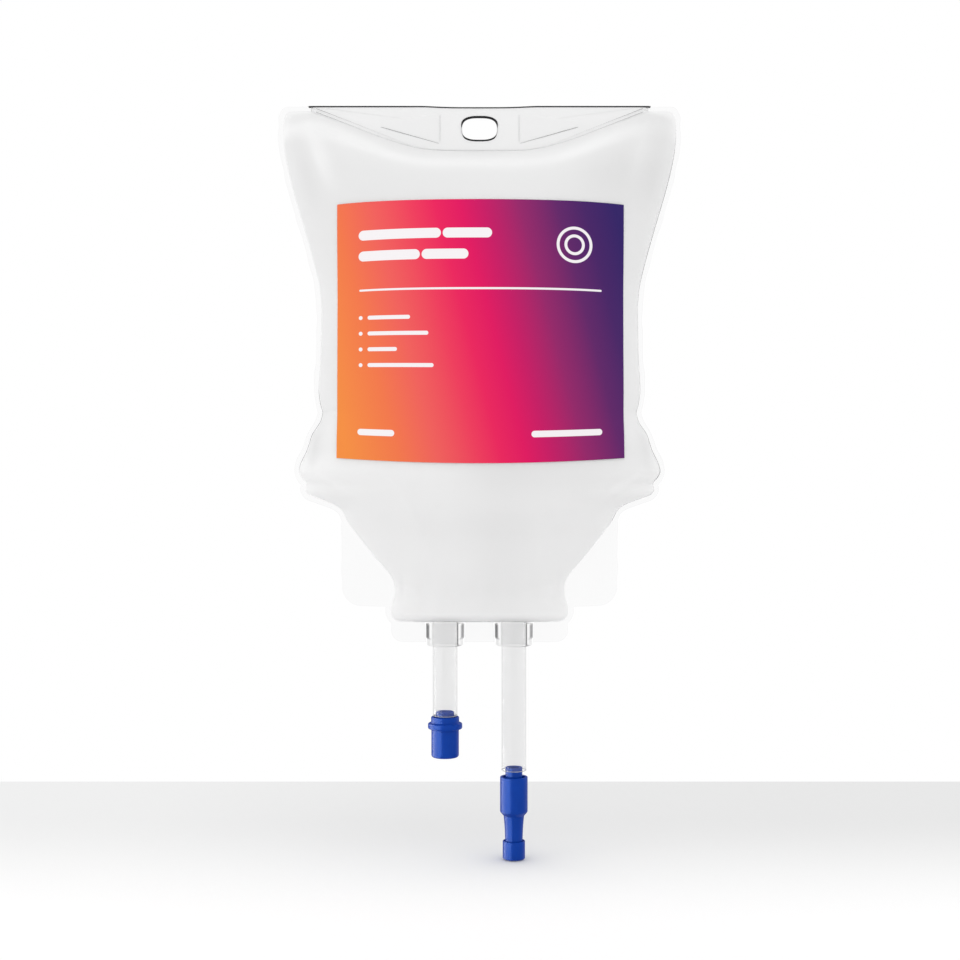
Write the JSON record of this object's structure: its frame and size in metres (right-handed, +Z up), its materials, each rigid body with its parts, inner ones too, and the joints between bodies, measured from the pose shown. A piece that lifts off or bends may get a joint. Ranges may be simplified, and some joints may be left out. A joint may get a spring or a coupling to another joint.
{
  "type": "iv fluid bag",
  "caption": "Filled hanging fluid bag with a slotted hanger tab, a front label, an injection port tube and a spike port tube under a pull-off cover.",
  "frame": {"origin": "middle of the hanger slot's top wall, where the hook bears", "axes": "+X across the bag to the right of a viewer of the label, +Y from the labelled front to the back, +Z up as it hangs"},
  "size_m": [0.1618, 0.0684, 0.3011],
  "materials": {
    "milky_film": "milky translucent film over fluid, soft satin, with clear welded edges",
    "label_print": "satin printed film, blended from orange through pink and purple to indigo",
    "clear_plastic": "clear flexible plastic, glossy",
    "blue_plastic": "moulded blue plastic, satin gloss",
    "septum_rubber": "matte tan rubber"
  },
  "bodies": {
    "hanging_bag": {"bag": "milky_film", "label": "label_print", "injection_collar": "clear_plastic", "spike_collar": "clear_plastic", "injection_tube": "clear_plastic", "spike_tube": "clear_plastic", "injection_closure": "blue_plastic", "injection_septum": "septum_rubber", "spike_stub": "blue_plastic"},
    "cover": {"spike_cover": "blue_plastic"}
  },
  "joints": [
    {"name": "cover_pull_off", "type": "slide", "parent": "hanging_bag", "child": "cover", "axis": [0, 0, -1], "range_m": [0, 0.02]}
  ]
}
